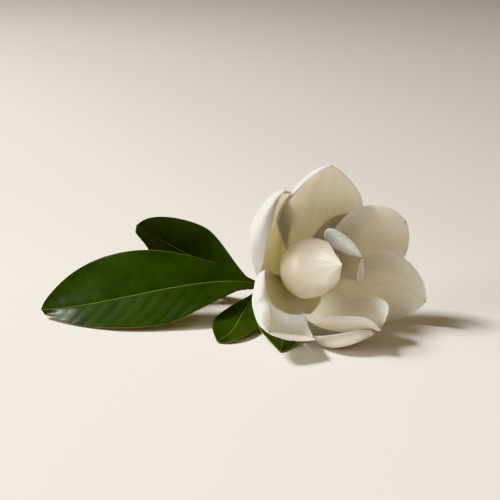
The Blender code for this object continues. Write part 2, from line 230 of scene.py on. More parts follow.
@dataclass(frozen=True)
class Half:
    """One side of a blade, from its midrib out to its margin.

    reach is its greatest width, at peak of the length, and claw the share of it at the base.
    swell and end shape the outline before and past the peak. cup and roll are how far the
    section turns inward, in degrees at the base, middle and apex, and bend and curl how much
    nearer the margin than the midrib.
    """

    reach: float
    claw: float = 0.25
    peak: float = 0.6
    end: float = 0.5
    swell: float = 1.3
    cup: Triple = (15, 30, 30)
    bend: float = 1.5
    roll: Triple = (0, 0, 0)
    curl: float = 4.0

    def width(self, t: Grid) -> Grid:
        """The outline: a claw that swells, then closes at the apex.

        Args:
            t: The places along the length.

        Returns:
            The width there.
        """
        rise = np.sin(0.5 * np.pi * np.clip(t / self.peak, 0.0, 1.0)) ** self.swell
        past = np.clip((t - self.peak) / (1.0 - self.peak), 0.0, 1.0)
        low = self.claw + (1.0 - self.claw) * rise
        return self.reach * np.where(t < self.peak, low, (1.0 - past**2) ** self.end)

    def section(self, fold: Grid, t: Grid, columns: int) -> tuple[Grid, Grid]:
        """The cupped and rolled cross-section in each row.

        Args:
            fold: The angle of the half at the midrib in each row, in radians.
            t: Where along the length each row lies.
            columns: How many columns the half has.

        Returns:
            How far each column lies out from the midrib, and up to the inner side.
        """
        steps = 4
        fine = rounded(0.0, columns * steps + 1)
        cup = np.radians(blend(self.cup, t))[:, None]
        roll = np.radians(blend(self.roll, t))[:, None]
        turn = fold[:, None] + cup * fine**self.bend + roll * fine**self.curl
        width = self.width(t)[:, None]
        paths = []
        for part in (np.cos(turn), np.sin(turn)):
            path = summed(0.5 * (part[:, 1:] + part[:, :-1]) * np.diff(fine))
            paths.append(width * path[:, ::steps])
        return paths[0], paths[1]


@dataclass(frozen=True)
class Life:
    """The soft unevenness of a blade, in millimetres.

    sway is how far the margins wander off the smooth form, and turns how often. dent is the
    height of broad swells, and furrow that of fine lengthwise ones. seed picks the pattern.
    """

    seed: int = 1
    sway: float = 0.7
    turns: float = 2.2
    dent: float = 0.45
    furrow: float = 0.16

    def liven(self, grid: Grid, t: Grid, start: float = 0.22) -> Grid:
        """Lays the unevenness on a smooth surface, and leaves its apex where it is.

        Args:
            grid: The smooth middle surface.
            t: Where along the length each row lies.
            start: Where along the length the unevenness begins.

        Returns:
            The uneven surface.
        """
        fade_in, fade_out, half_phase, furrows, swells, phase = 0.25, 0.07, 0.23, 16.0, 0.55, 1.7
        q = rounded(-1.0, grid.shape[1])[None, :]
        t = t[:, None]
        share = ease((t - start) / fade_in) * (1.0 - ease((t - 1.0 + fade_out) / fade_out))
        shift = self.seed * phase
        sway = np.sin(2.0 * np.pi * (self.turns * t + half_phase * np.sign(q)) + shift) * np.abs(q) ** 5
        dent = smooth_noise(q * swells, t, self.seed)
        furrow = np.cos(furrows * q + shift + 2.0 * t) * (1.0 - np.abs(q) ** 3)
        height = self.sway * sway + self.dent * dent + self.furrow * furrow
        return grid + (height * share)[..., None] * surface_normals(grid)


@dataclass(frozen=True)
class Blade:
    """A tepal or a leaf.

    seat is the distance along the stem that carries it, way has the points of its midrib
    at a third, two thirds and all of its length, and faces are the directions that its
    inner side looks to at the middle and the apex.
    """

    seat: float
    way: tuple[Triple, ...]
    faces: tuple[Triple, ...]
    left: Half
    right: Half
    base_face: Triple = (0.400, -0.761, 0.511)
    fold: Triple = (0, 0, 0)
    life: Life = field(default_factory=Life)

    def rows(self, count: int) -> Grid:
        """Places rows along the length, closer together toward the apex.

        Args:
            count: How many steps there are between them.

        Returns:
            Where along the length each row lies.
        """
        low_share = 0.95
        peak = 0.5 * (self.left.peak + self.right.peak)
        low = max(2, round(count * peak * low_share))
        high = peak + (1.0 - peak) * rounded(0.0, count - low + 1)
        return np.concatenate([np.linspace(0.0, peak, low, endpoint=False), high])

    def surface(self, base: Grid, t: Grid, columns: int) -> Grid:
        """The uneven middle surface.

        Args:
            base: Where the midrib starts.
            t: Where along the length each row lies.
            columns: How many columns each half has.

        Returns:
            Points in rows, from the left margin to the right margin.
        """
        place, slope = through(np.array([base, *self.way]), t)
        along = unit(slope)
        looks = (self.base_face, *self.faces)
        face = np.stack([blend(tuple(look[k] for look in looks), t) for k in range(3)], axis=-1)
        across = unit(np.cross(along, face))
        inward = np.cross(across, along)
        fold = np.radians(blend(self.fold, t))
        left_out, left_up = self.left.section(fold, t, columns)
        right_out, right_up = self.right.section(fold, t, columns)
        out = np.concatenate([-left_out[:, :0:-1], right_out], axis=1)[:, :, None]
        up = np.concatenate([left_up[:, :0:-1], right_up], axis=1)[:, :, None]
        return self.life.liven(place[:, None] + out * across[:, None] + up * inward[:, None], t)


@dataclass(frozen=True)
class Wrap:
    """A closed tepal: the layer it lies in, and the stretch round the egg it covers."""

    layer: int
    middle: float
    spread: Triple
    life: Life = field(default_factory=Life)


class RoundStem:
    """A round stem that carries blades: what the receptacle and the twig share."""

    span: float

    def line(self, places: Grid) -> tuple[Grid, Grid, Grid]:
        """Centres, directions and radii at places from 0 to span along the stem."""
        raise NotImplementedError

    def seat(self, place: float, toward: Triple, gap: float) -> Grid:
        """Finds the point near the skin that lies toward another point.

        Args:
            place: Where along the stem it lies.
            toward: The other point.
            gap: How far off the skin, below zero for a base set into it.

        Returns:
            The point.
        """
        centres, axes, radii = self.line(np.array([place]))
        out = np.asarray(toward) - centres[0]
        return centres[0] + (radii[0] + gap) * unit(out - np.dot(out, axes[0]) * axes[0])

    def clear(self, points: Grid, gap: float) -> Grid:
        """Moves points that are too near the stem straight out from its middle line.

        Args:
            points: The points, in one list.
            gap: The least distance from its skin, below zero for a joint sunk into it.

        Returns:
            The points, moved where they had to be.
        """
        stops, reach = 161, 90.0
        centres, _, radii = self.line(np.linspace(0.0, self.span, stops))
        near = np.linalg.norm(points - centres.mean(axis=0), axis=1) < reach
        some = points[near]
        away = np.linalg.norm(some[:, None] - centres[None], axis=-1) - radii[None]
        nearest = away.argmin(axis=1)
        out = some - centres[nearest]
        distance = np.linalg.norm(out, axis=1)
        wanted = np.maximum(distance, radii[nearest] + gap)
        points = points.copy()
        points[near] = centres[nearest] + out * (wanted / distance)[:, None]
        return points


@dataclass(frozen=True)
class Thickness:
    """A blade's thickness in millimetres: at the base of the midrib, and along it above.

    margin is the share of it that is left near the margin, which is rounded off.
    """

    base: float
    body: float
    margin: float

    def half(self, t: Grid, columns: int) -> Grid:
        """Half the thickness over a surface.

        Args:
            t: Where along the length each row lies.
            columns: How many columns it has.

        Returns:
            Half the thickness at each point.
        """
        edge_width, edge_least = 0.02, 0.06
        q = np.abs(rounded(-1.0, columns))[None, :]
        core = self.body + (self.base - self.body) * (1.0 - t[:, None]) ** 3
        whole = core * (1.0 - (1.0 - self.margin) * q**2)
        return 0.5 * whole * np.sqrt(np.clip((1.0 - q) / edge_width, edge_least, 1.0))


@dataclass
class Sheet:
    """A thin blade as one closed mesh, with its own measures kept as UV maps.

    name is that of its solid, grid the middle surface in drafting millimetres, t where each
    row lies, and half is half the thickness over the grid. The maps are blade (across,
    along), near (distances to the apex and to the margin) and rib (distance from the midrib
    with its side, length along it). Distances in the maps are in centimetres.
    """

    name: str
    grid: Grid
    t: Grid
    half: Grid

    def measures(self) -> dict[str, Grid]:
        """Measures the blade for its UV maps.

        Returns:
            Two values for each point of the grid, under the name of each map.
        """
        rows, columns = self.grid.shape[:2]
        across = np.broadcast_to(np.linspace(0.0, 1.0, columns), (rows, columns))
        along = np.broadcast_to(self.t[:, None], (rows, columns))
        claw = rows // 5
        free = self.grid[claw:]
        margin = np.full((rows, columns), np.inf)
        for point in np.concatenate([free[:, 0], free[:, -1]]):
            margin = np.minimum(margin, ((self.grid - point) ** 2).sum(axis=-1))
        apex = np.linalg.norm(self.grid - self.grid[-1, columns // 2], axis=-1)
        rib, length = rib_distances(self.grid)
        return {
            "blade": np.stack([across, along], axis=-1),
            "near": np.stack([apex, np.sqrt(margin)], axis=-1) * CM_IN_MM,
            "rib": np.stack([rib, np.broadcast_to(length, rib.shape)], axis=-1),
        }

    def faces(self) -> tuple[Faces, list[int]]:
        """The faces of the closed sheet, whose last row is one shared apex.

        Returns:
            The faces, and which finish each wears: 0 on the inner side, 1 on the outer.
        """
        rows, columns = self.grid.shape[:2]
        index = np.arange(rows * columns).reshape(rows, columns)
        index[-1] = (rows - 1) * columns
        back = int(index.max()) + 1
        corners = (index[:-1, :-1], index[:-1, 1:], index[1:, 1:], index[1:, :-1])
        cells = zip(*(corner.ravel().tolist() for corner in corners))
        cells = [(i, j, k) if k == m else (i, j, k, m) for i, j, k, m in cells]
        under = [tuple(i + back for i in reversed(cell)) for cell in cells]
        rim = []
        for low, high, way in ((index[:-1, 0], index[1:, 0], 1), (index[:-1, -1], index[1:, -1], -1)):
            for i, j in zip(low.tolist(), high.tolist()):
                rim.append((i, j, j + back, i + back)[::way])
        for i, j in zip(index[0, :-1].tolist(), index[0, 1:].tolist()):
            rim.append((i, i + back, j + back, j))
        return cells + under + rim, [0] * len(cells) + [1] * (len(under) + len(rim))

    def build(self, stem: RoundStem, gap: float, finishes: Finishes, slot: Slot) -> None:
        """Adds the blade to the scene, off the floor, in the place of its solid.

        Args:
            stem: The stem that the blade keeps off.
            gap: The least distance from that stem's skin.
            finishes: The materials of the inner and outer side.
            slot: Not used.
        """
        inner_lift = 0.8
        normals = surface_normals(self.grid)
        inner = self.grid + self.half[..., None] * normals
        outer = self.grid - self.half[..., None] * normals
        inner[..., 2] = np.maximum(inner[..., 2], inner_lift)
        outer[..., 2] = np.maximum(outer[..., 2], 0.0)
        rows, columns = self.grid.shape[:2]
        keep = np.append(np.arange((rows - 1) * columns), (rows - 1) * columns + columns // 2)
        points = np.concatenate([inner.reshape(-1, 3)[keep], outer.reshape(-1, 3)[keep]])
        item = add_mesh(f"{self.name}_fine", stem.clear(points, gap), *self.faces(), finishes)
        corners = np.empty(len(item.data.loops), dtype=np.int32)
        item.data.loops.foreach_get("vertex_index", corners)
        for name, values in self.measures().items():
            flat = np.tile(values.reshape(-1, 2)[keep], (2, 1))
            add_map(item, name, flat[corners])
        dress(item, self.name)


def add_mesh(name: str, points: Grid, faces: Faces, sides: list[int],
             finishes: Finishes) -> bpy.types.Object:
    """Adds a smooth mesh object.

    Args:
        name: The object's name.
        points: Its points in drafting millimetres.
        faces: Its faces.
        sides: Which material each face wears.
        finishes: Its materials.

    Returns:
        The new object, in the frame's metres.
    """
    mesh = bpy.data.meshes.new(name)
    mesh.from_pydata(((points - ORIGIN) * MM).tolist(), [], faces)
    for finish in finishes:
        mesh.materials.append(finish)
    mesh.polygons.foreach_set("material_index", np.array(sides, dtype=np.int32))
    mesh.shade_smooth()
    item = bpy.data.objects.new(name, mesh)
    bpy.context.scene.collection.objects.link(item)
    return item


def add_map(item: bpy.types.Object, name: str, values: Grid) -> None:
    """Keeps two values for each face corner of an object as a UV map."""
    layer = item.data.uv_layers.new(name=name)
    layer.data.foreach_set("uv", np.asarray(values, dtype=np.float32).ravel())


def dress(item: bpy.types.Object, node: str) -> None:
    """Lets a piece stand for its solid in the frame and ride with it.

    Args:
        item: The piece.
        node: The solid's node.
    """
    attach(item, "root")
    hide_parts(node)
    LOG.info("%s stands for %s with %d faces", item.name, node, len(item.data.polygons))


# Blade values, the same as the solids'

TEPALS: dict[str, Blade] = {
    "tepal_top": Blade(
        seat=5.0, way=((50, 52.7, 61.8), (60.1, 62.7, 97), (71.6, 42.4, 136.2)),
        faces=((-0.02, -1.12, 0.06), (-0.01, -0.91, -0.03)),
        left=Half(42.2, claw=0.16, peak=0.45, end=0.48, swell=2.42,
                  cup=(19, 43, 51), bend=1.57, roll=(0, 93, 111), curl=4.1),
        right=Half(44.5, claw=0.3, peak=0.59, end=0.54, swell=1.31,
                   cup=(15, 21, 15), bend=1.53),
        life=Life(seed=3, dent=0.7, sway=0.9),
    ),
    "tepal_upper_right": Blade(
        seat=11.0, way=((76.3, 41.4, 54.4), (108.6, 48.3, 71.8), (137.7, 38.5, 86.4)),
        faces=((-0.1, -0.99, 0), (-0.13, -0.71, -0.09)),
        left=Half(32.5, claw=0.15, peak=0.67, end=0.5, swell=1.93, cup=(15, 44, 39), bend=1.42),
        right=Half(37, claw=0.25, peak=0.68, end=0.39, cup=(10, 15, 20)),
        life=Life(seed=8, dent=0.8, sway=0.8, turns=1.8),
    ),
    "tepal_right": Blade(
        seat=14.0, way=((86.5, 30, 33.7), (120.7, 26.3, 30.1), (154.1, 10.2, 22.1)),
        faces=((-0.06, -0.95, 0.29), (-0.5, -0.87, 0.07)),
        left=Half(35.4, claw=0.13, peak=0.6, end=0.53, swell=2.59,
                  cup=(15, 29, 24), roll=(0, 12, 25)),
        right=Half(38.1, claw=0.25, peak=0.53, end=0.62, cup=(15, 51, 30)),
        life=Life(seed=12, dent=0.8, sway=0.8, turns=2.0),
    ),
    "tepal_bottom": Blade(
        seat=16.5, way=((70.8, -12.7, 9.5), (91.8, -24.7, 12.4), (111, -30.3, 15.3)),
        faces=((-0.1, 0.14, 1.08), (-0.32, 0.01, 0.28)),
        left=Half(33.8, claw=0.34, peak=0.49, end=0.19, swell=0.6, cup=(22, 90, 67), bend=1.01),
        right=Half(33.1, claw=0.07, peak=0.41, end=0.27, swell=1.53, cup=(28, 79, 91), bend=1),
        life=Life(seed=21, dent=0.35, sway=0.5),
    ),
    "tepal_under": Blade(
        seat=2.0, way=((56.4, -13.3, 0.3), (78.4, -31.5, 0.1), (103.7, -34, 12)),
        faces=((-0.02, 0.1, 1), (-0.1, 0.06, 1.02)),
        left=Half(26.6, claw=0.2, peak=0.67, end=0.46, swell=1.26,
                  cup=(8, 16, 18), bend=1.29, roll=(0, 0, 6), curl=4.2),
        right=Half(29.3, claw=0.06, peak=0.68, end=0.46, swell=2.24, cup=(15, 84, 108), bend=1.33),
        life=Life(seed=27, dent=0.3, sway=0.4),
    ),
    "tepal_lower_left": Blade(
        seat=7.0, way=((24.1, -9.5, 26.8), (18.6, -36.6, 18.6), (16, -62.4, 26.4)),
        faces=((0.41, -0.8, 0.97), (0.37, -0.1, 0.92)),
        left=Half(37.6, claw=0.28, peak=0.8, end=0.81, swell=1.61,
                  cup=(73, 21, 52), bend=1.13, roll=(7, 1, 4), curl=3),
        right=Half(45.4, claw=0.22, peak=0.35, end=0.18, swell=1.75,
                   cup=(32, 70, 109), bend=1.14, roll=(55, 111, 91), curl=3.7),
        life=Life(seed=31, dent=0.4, sway=0.5),
    ),
    "tepal_left": Blade(
        seat=2.0, way=((5.9, 22.9, 62.8), (5, 8.7, 99.9), (26.6, -4.4, 125.5)),
        faces=((0.72, -0.4, 0.05), (0.89, -0.26, -0.4)),
        left=Half(38.4, claw=0.22, peak=0.64, end=1, swell=1.29,
                  cup=(6, 110, 109), bend=1.48, roll=(0, 3, 0), curl=4.5),
        right=Half(58.4, claw=0.4, peak=0.36, end=0.37, swell=0.69,
                   cup=(24, 15, 47), bend=1.61, roll=(0, 0, 7)),
        base_face=(0.63, -0.46, 0.16),
        life=Life(seed=37, dent=0.5, sway=0.6),
    ),
    "tepal_inner_right": Blade(
        seat=19.5, way=((72.2, 32.1, 47.6), (90.8, 25.3, 58), (96, 5.9, 64.7)),
        faces=((-0.28, -0.9, 0.29), (-0.57, -0.65, -0.09)),
        left=Half(50.5, claw=0.17, peak=0.65, end=0.84, swell=2.49,
                  cup=(15, 32, 85), bend=1.19, roll=(60, 147, 137), curl=3),
        right=Half(27.4, claw=0.15, peak=0.88, end=0.28, swell=2.56,
                   cup=(15, 30, 42), bend=1.61, roll=(0, 19, 110), curl=4.7),
        life=Life(seed=41, dent=0.5, sway=1.1, turns=3.0),
    ),
    "tepal_inner_top": Blade(
        seat=8.0, way=((63.0, 48.0, 56.6), (81.1, 54.0, 69.7), (93.5, 51.5, 88.5)),
        faces=((-0.1, -1.0, 0.1), (-0.3, -0.9, 0.0)),
        left=Half(18, claw=0.3, end=0.4, cup=(15, 25, 30)),
        right=Half(8, claw=0.3, end=0.4, cup=(10, 10, 10)),
        life=Life(seed=45, dent=0.3, sway=0.3),
    ),
}

CLOSED_TEPALS: dict[str, Wrap] = {
    "closed_tepal_outer": Wrap(layer=0, middle=-35.0, spread=(100, 95, 95),
                                life=Life(seed=71, dent=0.35, sway=0.25)),
    "closed_tepal_middle": Wrap(layer=1, middle=115.0, spread=(80, 80, 80),
                                life=Life(seed=73, dent=0.3, sway=0.2)),
    "closed_tepal_inner": Wrap(layer=2, middle=212.0, spread=(85, 90, 80),
                                life=Life(seed=77, dent=0.3, sway=0.2)),
}

LEAVES: dict[str, Blade] = {
    "leaf_left": Blade(
        seat=0.42, way=((-53.9, 34.0, 28.1), (-120.8, 27.0, 17.0), (-187.7, 26.0, 7.6)),
        faces=((0.0, -0.62, 0.78), (0.0, -0.5, 0.85)),
        left=Half(38, claw=0.06, peak=0.5, end=0.95, cup=(5, 5, 5), bend=1.0),
        right=Half(44, claw=0.06, peak=0.66, end=0.64, cup=(8, 8, 8), bend=1.0),
        base_face=(0.0, -0.6, 0.8), fold=(14, 8, 4),
        life=Life(seed=51, dent=1.0, sway=1.1, turns=2.6, furrow=0.0),
    ),
    "leaf_back": Blade(
        seat=0.5, way=((-39.4, 76.0, 32.4), (-73.0, 80.0, 48.9), (-104.0, 68.0, 72.7)),
        faces=((0.0, -0.85, 0.5), (0.0, -0.7, 0.7)),
        left=Half(29, claw=0.06, peak=0.5, end=0.6, cup=(5, 5, 5), bend=1.0),
        right=Half(30, claw=0.06, peak=0.5, end=0.6, cup=(8, 8, 8), bend=1.0),
        base_face=(0.0, -0.8, 0.6), fold=(14, 14, 20),
        life=Life(seed=57, dent=0.8, sway=0.8, turns=2.2, furrow=0.0),
    ),
    "leaf_low": Blade(
        seat=0.33, way=((-5.0, 24.0, 7.0), (-14.0, -4.0, 3.0), (-28.0, -28.0, 2.0)),
        faces=((0.0, 0.0, 1.0), (0.0, 0.0, 1.0)),
        left=Half(21, claw=0.08, peak=0.55, end=0.7, swell=1.6, cup=(5, 5, 5), bend=1.0),
        right=Half(21, claw=0.08, peak=0.55, end=0.7, swell=1.6, cup=(3, 3, 3), bend=1.0),
        base_face=(0.0, 0.2, 1.0), fold=(4, 2, 6),
        life=Life(seed=61, dent=0.3, sway=0.3, furrow=0.0),
    ),
    "leaf_front": Blade(
        seat=0.18, way=((21.0, 13.0, 10.0), (26.0, -15.0, 5.0), (25.0, -47.0, 1.5)),
        faces=((0.0, -0.1, 1.0), (0.0, -0.1, 1.0)),
        left=Half(18, claw=0.08, end=0.8, swell=1.8, cup=(5, 5, 5), bend=1.0),
        right=Half(18, claw=0.08, end=0.8, swell=1.8, cup=(8, 8, 8), bend=1.0),
        base_face=(0.0, 0.2, 1.0), fold=(8, 6, 6),
        life=Life(seed=67, dent=0.3, sway=0.3, furrow=0.0),
    ),
}


# Shader nodes


def arithmetic(operation: str, turned: bool = False) -> Callable[..., "Value"]:
    """Makes a method that adds a Math node.

    Args:
        operation: What the node works out.
        turned: Whether the other value comes first.

    Returns:
        The method, which takes another value or number, and gives the node's.
    """
    def method(self: "Value", other: "Value | float" = 0.0) -> "Value":
        """The node's value."""
        first, second = (other, self) if turned else (self, other)
        return self.graph.value("ShaderNodeMath", {"operation": operation}, {0: first, 1: second})
    return method


@dataclass(frozen=True)
class Value:
    """An output socket of a graph, whose arithmetic adds Math nodes."""

    graph: "Graph"
    socket: bpy.types.NodeSocket

    __add__ = arithmetic("ADD")
    __radd__ = arithmetic("ADD", turned=True)
    __sub__ = arithmetic("SUBTRACT")
    __rsub__ = arithmetic("SUBTRACT", turned=True)
    __mul__ = arithmetic("MULTIPLY")
    __truediv__ = arithmetic("DIVIDE")
    __pow__ = arithmetic("POWER")
    __abs__ = arithmetic("ABSOLUTE")
    most = arithmetic("MAXIMUM")
    sine = arithmetic("SINE")
    fraction = arithmetic("FRACT")

    def wave(self) -> "Value":
        """A sine wave between 0 and 1, for an angle in radians."""
        return self.sine() * 0.5 + 0.5

    def spread(self) -> "Value":
        """How far the value's fraction is from one half: 0 there, and 1 at a whole number."""
        return abs(self.fraction() - 0.5) * 2.0

    def step(self, low: float, high: float) -> "Value":
        """A smooth step up, or down where low is the larger.

        Args:
            low: Where it is 0.
            high: Where it is 1.

        Returns:
            The step's value.
        """
        first, last = (low, high) if low < high else (high, low)
        result = self.graph.value(
            "ShaderNodeMapRange", {"interpolation_type": "SMOOTHSTEP"},
            {"Value": self, "From Min": first, "From Max": last},
        )
        return result if low < high else 1.0 - result


class Graph:
    """The node tree of one material, ending in one Principled shader."""

    def __init__(self, name: str) -> None:
        """Starts a material.

        Args:
            name: The material's name.
        """
        self.material = bpy.data.materials.new(name)
        self.material.use_nodes = True
        self.tree = self.material.node_tree
        self.shader = self.tree.nodes["Principled BSDF"]

    def node(self, kind: str, settings: dict | None = None, sockets: dict | None = None) -> bpy.types.Node:
        """Adds one node.

        Args:
            kind: The node's type.
            settings: Its own settings, such as an operation.
            sockets: Numbers, colours or values for its inputs.

        Returns:
            The new node.
        """
        made = self.tree.nodes.new(kind)
        for name, value in (settings or {}).items():
            setattr(made, name, value)
        for name, value in (sockets or {}).items():
            self.feed(made.inputs[name], value)
        return made

    def feed(self, socket: bpy.types.NodeSocket, value: "Value | float | tuple") -> None:
        """Links a value to a socket, or sets the socket itself.

        Args:
            socket: The socket.
            value: The value, number or colour.
        """
        if isinstance(value, Value):
            self.tree.links.new(value.socket, socket)
        elif isinstance(value, tuple) and socket.type == "RGBA":
            socket.default_value = (*value, 1.0)
        else:
            socket.default_value = value

    def value(self, kind: str, settings: dict | None = None, sockets: dict | None = None,
              output: int | str = 0) -> Value:
        """The value of one output of a new node, which takes the same arguments as in node."""
        return Value(self, self.node(kind, settings, sockets).outputs[output])

    def parts(self, vector: Value) -> tuple[Value, Value]:
        """The first two values of a vector."""
        made = self.node("ShaderNodeSeparateXYZ", None, {0: vector})
        return Value(self, made.outputs[0]), Value(self, made.outputs[1])

    def map(self, name: str) -> tuple[Value, Value]:
        """The two values of one of the piece's own maps."""
        return self.parts(self.value("ShaderNodeUVMap", {"uv_map": name}))

    def place(self) -> Value:
        """The place on the object, in metres."""
        return self.value("ShaderNodeTexCoord", output="Object")

    def vector(self, x: Value, y: Value, z: float = 0.0) -> Value:
        """A vector of three values."""
        return self.value("ShaderNodeCombineXYZ", None, {0: x, 1: y, 2: z})

    def noise(self, vector: Value, scale: float = 1.0, detail: float = 2.0, roughness: float = 0.5) -> Value:
        """A soft uneven value about one half.

        Args:
            vector: Where the noise is read.
            scale: How many swells there are to a unit.
            detail: How many finer layers lie on it.
            roughness: How strong those layers are.

        Returns:
            The noise.
        """
        sockets = {"Vector": vector, "Scale": scale, "Detail": detail, "Roughness": roughness}
        return self.value("ShaderNodeTexNoise", None, sockets)

    def cells(self, vector: Value, scale: float = 1.0, feature: str = "DISTANCE_TO_EDGE") -> Value:
        """A cell pattern: the distance to the cells' edges or middles."""
        return self.value("ShaderNodeTexVoronoi", {"feature": feature}, {"Vector": vector, "Scale": scale})

    def mix(self, share: Value | float, first: Value | Colour, second: Value | Colour) -> Value:
        """A colour between two, with a share of the second."""
        return self.value("ShaderNodeMix", {"data_type": "RGBA"}, {0: share, 6: first, 7: second}, 2)

    def layers(self, colour: Value, *coats: tuple[Value, Colour]) -> Value:
        """Lays coats over a colour.

        Args:
            colour: The colour under them.
            coats: The share and the colour of each.

        Returns:
            The colour that shows.
        """
        for share, coat in coats:
            colour = self.mix(share, colour, coat)
        return colour

    def bump(self, height: Value, strength: float = 1.0) -> None:
        """Feeds the shader's Normal from a height in millimetres."""
        made = self.node("ShaderNodeBump", None, {"Strength": strength, "Distance": MM, "Height": height})
        self.tree.links.new(made.outputs[0], self.shader.inputs["Normal"])

    def finish(self, **sockets: Value | float | tuple) -> bpy.types.Material:
        """Sets the shader's sockets.

        Args:
            sockets: Their values, under their names with underscores for spaces.

        Returns:
            The material.
        """
        for name, value in sockets.items():
            self.feed(self.shader.inputs[name.replace("_", " ")], value)
        return self.material


# Finishes


@dataclass(frozen=True)
class PetalFinish:
    """A waxy ivory tepal, warmer toward its base, with faint lengthwise veins.

    golden is how far up the warm colour reaches as a share of the length, and warmth how
    strong it is there. pale is a painted rim light: the lighter colour laid within about a
    centimetre of the margin, where light shows through the thin edge. tip is the colour of the
    spot at the apex, tip_size centimetres wide. glow is the share of light that passes into
    the tepal, depth how far it goes in metres, reach the share of that for each of its
    colours, veins the strength of the veins and gloss that of the wax.
    """

    name: str
    ivory: Colour = (0.93, 0.885, 0.77)
    cream: Colour = (0.92, 0.85, 0.70)
    gold: Colour = (0.89, 0.78, 0.55)
    vein: Colour = (0.80, 0.73, 0.54)
    pale: Colour = (0.965, 0.935, 0.84)
    halo: Colour = (0.70, 0.66, 0.33)
    tip: Colour = (0.40, 0.27, 0.08)
    golden: float = 0.60
    warmth: float = 0.6
    tip_size: float = 0.14
    glow: float = 0.9
    reach: Triple = (1.0, 0.83, 0.62)
    depth: float = 0.004
    veins: float = 0.5
    gloss: float = 0.0

    def material(self) -> bpy.types.Material:
        """Builds the material.

        Returns:
            The material.
        """
        graph = Graph(self.name)
        across, along = graph.map("blade")
        apex, margin = graph.map("near")
        place = graph.place()
        streak = graph.noise(graph.vector(across * 46.0, along * 2.2), detail=3.0, roughness=0.6) - 0.5
        waver = graph.noise(graph.vector(across * 9.0, along * 3.5, 7.0))
        thread = graph.cells(graph.vector(across * 30.0 + waver * 1.6, along * 1.3)).step(0.10, 0.0)
        thread = thread * self.veins
        fine = graph.noise(graph.vector(across * 150.0, along * 5.0, 3.0), roughness=0.6) - 0.5
        cloud = graph.noise(place, 38.0, 3.0, 0.55)
        swell = cloud - 0.5
        speck = graph.noise(place, 900.0) - 0.5
        base = (along + streak * 0.22 + swell * 0.2).step(self.golden, 0.0)
        spot = (apex + speck * 0.08).step(self.tip_size, self.tip_size * 0.25)
        colour = graph.layers(
            graph.mix((cloud + streak * 0.5).step(0.25, 0.8) * 0.55, self.ivory, self.cream),
            (base * self.warmth, self.gold),
            (thread * 0.65 * along.step(1.05, 0.5), self.vein),
            # Painted rim light: the colour is lighter toward the margin, where light shows through the thin
            # edge.
            ((margin + streak * 0.5).step(1.1, 0.1) * 0.6, self.pale),
            (margin.step(0.08, 0.0) * 0.3, self.vein),
            (apex.step(self.tip_size * 5.0, 0.0) * 0.35, self.halo),
            (spot * 0.9, self.tip),
        )
        graph.bump(streak * 0.40 + fine * 0.06 + speck * 0.018 + swell * 0.7 + thread * 0.06, 0.8)
        return graph.finish(
            Base_Color=colour, Roughness=0.44 + swell * 0.16 + spot * 0.2, IOR=1.4,
            Subsurface_Weight=self.glow, Subsurface_Radius=self.reach, Subsurface_Scale=self.depth,
            Sheen_Weight=0.08, Sheen_Roughness=0.4,
            Coat_Weight=(0.6 + cloud * 0.8) * self.gloss, Coat_Roughness=0.31,
        )


@dataclass(frozen=True)
class VeinPattern:
    """The side veins of a leaf: their spacing in centimetres and how they sweep to the apex."""

    spacing: float = 1.55
    sweep: float = 0.62
    bow: float = 0.10

    def share(self, rib: Grid | Value, length: Grid | Value, shift: Grid | Value) -> Grid | Value:
        """Where a point lies between two side veins, whole numbers on them.

        Args:
            rib: Its distance from the midrib.
            length: How far along the midrib it lies.
            shift: 0.5 on the left half and 0 on the right, so that the veins alternate.

        Returns:
            The share, as a grid or in shader nodes like what it is given.
        """
        out = abs(rib)
        return (length - out * self.sweep - out * out * self.bow) / self.spacing + shift

    def nodes(self, rib: Value, length: Value) -> Value:
        """The share in shader nodes."""
        return self.share(rib, length, rib.step(0.01, -0.01) * 0.5)


